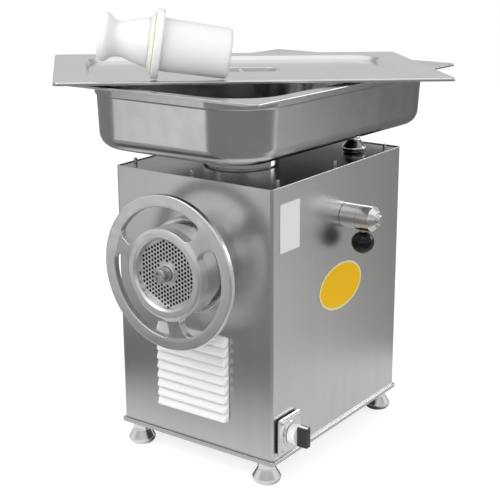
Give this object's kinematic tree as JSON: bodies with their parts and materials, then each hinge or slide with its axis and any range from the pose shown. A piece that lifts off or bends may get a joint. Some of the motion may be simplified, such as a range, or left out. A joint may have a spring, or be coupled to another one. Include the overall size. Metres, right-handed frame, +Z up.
{
  "type": "industrial meat grinder",
  "caption": "Floor-cabinet bench meat grinder with a ring handwheel head, a feed pan with its lid laid askew, a pusher on the lid, a rotary switch and a ball lever clamp.",
  "frame": {"origin": "middle of the object's bounding box, at the height of the surface that the feet stand on", "axes": "+Z up; -Y out of the front, where the grinding head is; +X to the side with the switch and the ball lever"},
  "size_m": [0.6008, 0.5947, 0.6359],
  "materials": {
    "tray_aluminium": "satin folded sheet",
    "foot_aluminium": "turned and polished",
    "brushed_panel": "brushed stainless sheet",
    "polished_plate": "polished stainless sheet",
    "screw_steel": "polished",
    "polished_tube": "polished stainless tube",
    "vent_white": "white enamel",
    "black_plastic": "moulded",
    "grey_paint": "workshop enamel",
    "label_white": "blank label film",
    "sticker_yellow": "plain yellow film",
    "head_casting": "ground stainless casting",
    "machined_steel": "machined",
    "plate_steel": "ground flat",
    "washer_plastic": "natural nylon",
    "ring_aluminium": "satin casting",
    "black_rubber": "moulded rubber",
    "pulley_iron": "cast and turned",
    "motor_paint": "blue-grey enamel",
    "fan_plastic": "moulded",
    "clamp_chrome": "polished",
    "ball_black": "glossy phenolic",
    "switch_steel": "brushed",
    "switch_white": "moulded",
    "pan_steel": "drawn stainless sheet, half bright",
    "lid_steel": "pressed stainless sheet",
    "pusher_white": "milky polyethylene",
    "pusher_joint": "aged polyethylene"
  },
  "bodies": {
    "cabinet": {"base_tray": "tray_aluminium", "foot_front_left": "foot_aluminium", "foot_front_right": "foot_aluminium", "foot_rear_left": "foot_aluminium", "foot_rear_right": "foot_aluminium", "cabinet_shell": "brushed_panel", "rear_cover": "brushed_panel", "top_plate": "polished_plate", "top_screw_1": "screw_steel", "top_screw_2": "screw_steel", "top_screw_3": "screw_steel", "top_screw_4": "screw_steel", "top_screw_5": "screw_steel", "top_screw_6": "screw_steel", "top_screw_7": "screw_steel", "top_screw_8": "screw_steel", "throat_tube": "polished_tube", "vent_grille": "vent_white", "cable_gland": "black_plastic", "inner_frame": "grey_paint", "drive_housing": "grey_paint", "drive_bearing_front": "machined_steel", "drive_bearing_rear": "machined_steel", "shaft_seal": "black_rubber", "drive_belt": "black_rubber", "motor_housing": "motor_paint", "clamp_sleeve": "clamp_chrome", "switch_gasket": "black_rubber", "switch_plate": "switch_steel", "switch_body": "black_plastic", "pan_post_left": "foot_aluminium", "pan_post_right": "foot_aluminium", "blank_label": "label_white", "oval_sticker": "sticker_yellow"},
    "drive": {"drive_shaft": "machined_steel", "drive_pulley": "pulley_iron"},
    "motor": {"motor_shaft": "machined_steel", "motor_fan": "fan_plastic", "motor_pulley": "pulley_iron"},
    "head": {"head_barrel": "head_casting", "plate_key": "machined_steel", "thrust_washer": "washer_plastic"},
    "worm": {"worm": "head_casting", "knife": "plate_steel"},
    "plate": {"mincing_plate": "plate_steel", "plate_bushing": "plate_steel"},
    "ring": {"ring_handwheel": "ring_aluminium"},
    "clamp": {"clamp_bolt": "machined_steel", "clamp_hub": "clamp_chrome", "clamp_lever": "clamp_chrome", "ball_knob": "ball_black"},
    "switch": {"switch_knob": "switch_white", "switch_grip_cover": "black_plastic"},
    "pan": {"feed_pan": "pan_steel", "pan_spout": "polished_tube"},
    "lid": {"pan_lid": "lid_steel", "lid_grip": "lid_steel"},
    "pusher": {"pusher_body": "pusher_white", "pusher_ring": "pusher_joint", "pusher_handle": "pusher_white"}
  },
  "joints": [
    {"name": "drive_spin", "type": "hinge", "parent": "cabinet", "child": "drive", "pos_m": [0.04, 0, 0.2966], "axis": [0, 1, 0], "continuous": true},
    {"name": "motor_spin", "type": "hinge", "parent": "cabinet", "child": "motor", "pos_m": [0.04, 0, 0.1236], "axis": [0, 1, 0], "continuous": true},
    {"name": "head_slide", "type": "slide", "parent": "cabinet", "child": "head", "axis": [0, -1, 0], "range_m": [0, 0.24]},
    {"name": "worm_spin", "type": "hinge", "parent": "head", "child": "worm", "pos_m": [0.04, 0, 0.2966], "axis": [0, 1, 0], "continuous": true},
    {"name": "plate_slide", "type": "slide", "parent": "head", "child": "plate", "axis": [0, -1, 0], "range_m": [0, 0.0181]},
    {"name": "ring_turn", "type": "hinge", "parent": "plate", "child": "ring", "pos_m": [0.04, -0.2, 0.2966], "axis": [0, -1, 0], "range_deg": [0, 1080]},
    {"name": "clamp_turn", "type": "hinge", "parent": "cabinet", "child": "clamp", "pos_m": [0.18, 0.00705, 0.3456], "axis": [1, 0, 0], "range_deg": [0, 180]},
    {"name": "switch_turn", "type": "hinge", "parent": "cabinet", "child": "switch", "pos_m": [0.19, -0.13795, 0.0706], "axis": [-1, 0, 0], "range_deg": [0, 90]},
    {"name": "pan_lift", "type": "slide", "parent": "cabinet", "child": "pan", "axis": [0, 0, 1], "range_m": [0, 0.1]},
    {"name": "lid_lift", "type": "slide", "parent": "pan", "child": "lid", "axis": [0, 0, 1], "range_m": [0, 0.1]},
    {"name": "pusher_lift", "type": "slide", "parent": "lid", "child": "pusher", "axis": [0, 0, 1], "range_m": [0, 0.12]}
  ],
  "couplings": [
    {"joint": "motor_spin", "follows": "drive_spin", "ratio": 4.1024},
    {"joint": "worm_spin", "follows": "drive_spin", "ratio": 1},
    {"joint": "plate_slide", "follows": "ring_turn", "m_per_rad": 0.00095493}
  ]
}
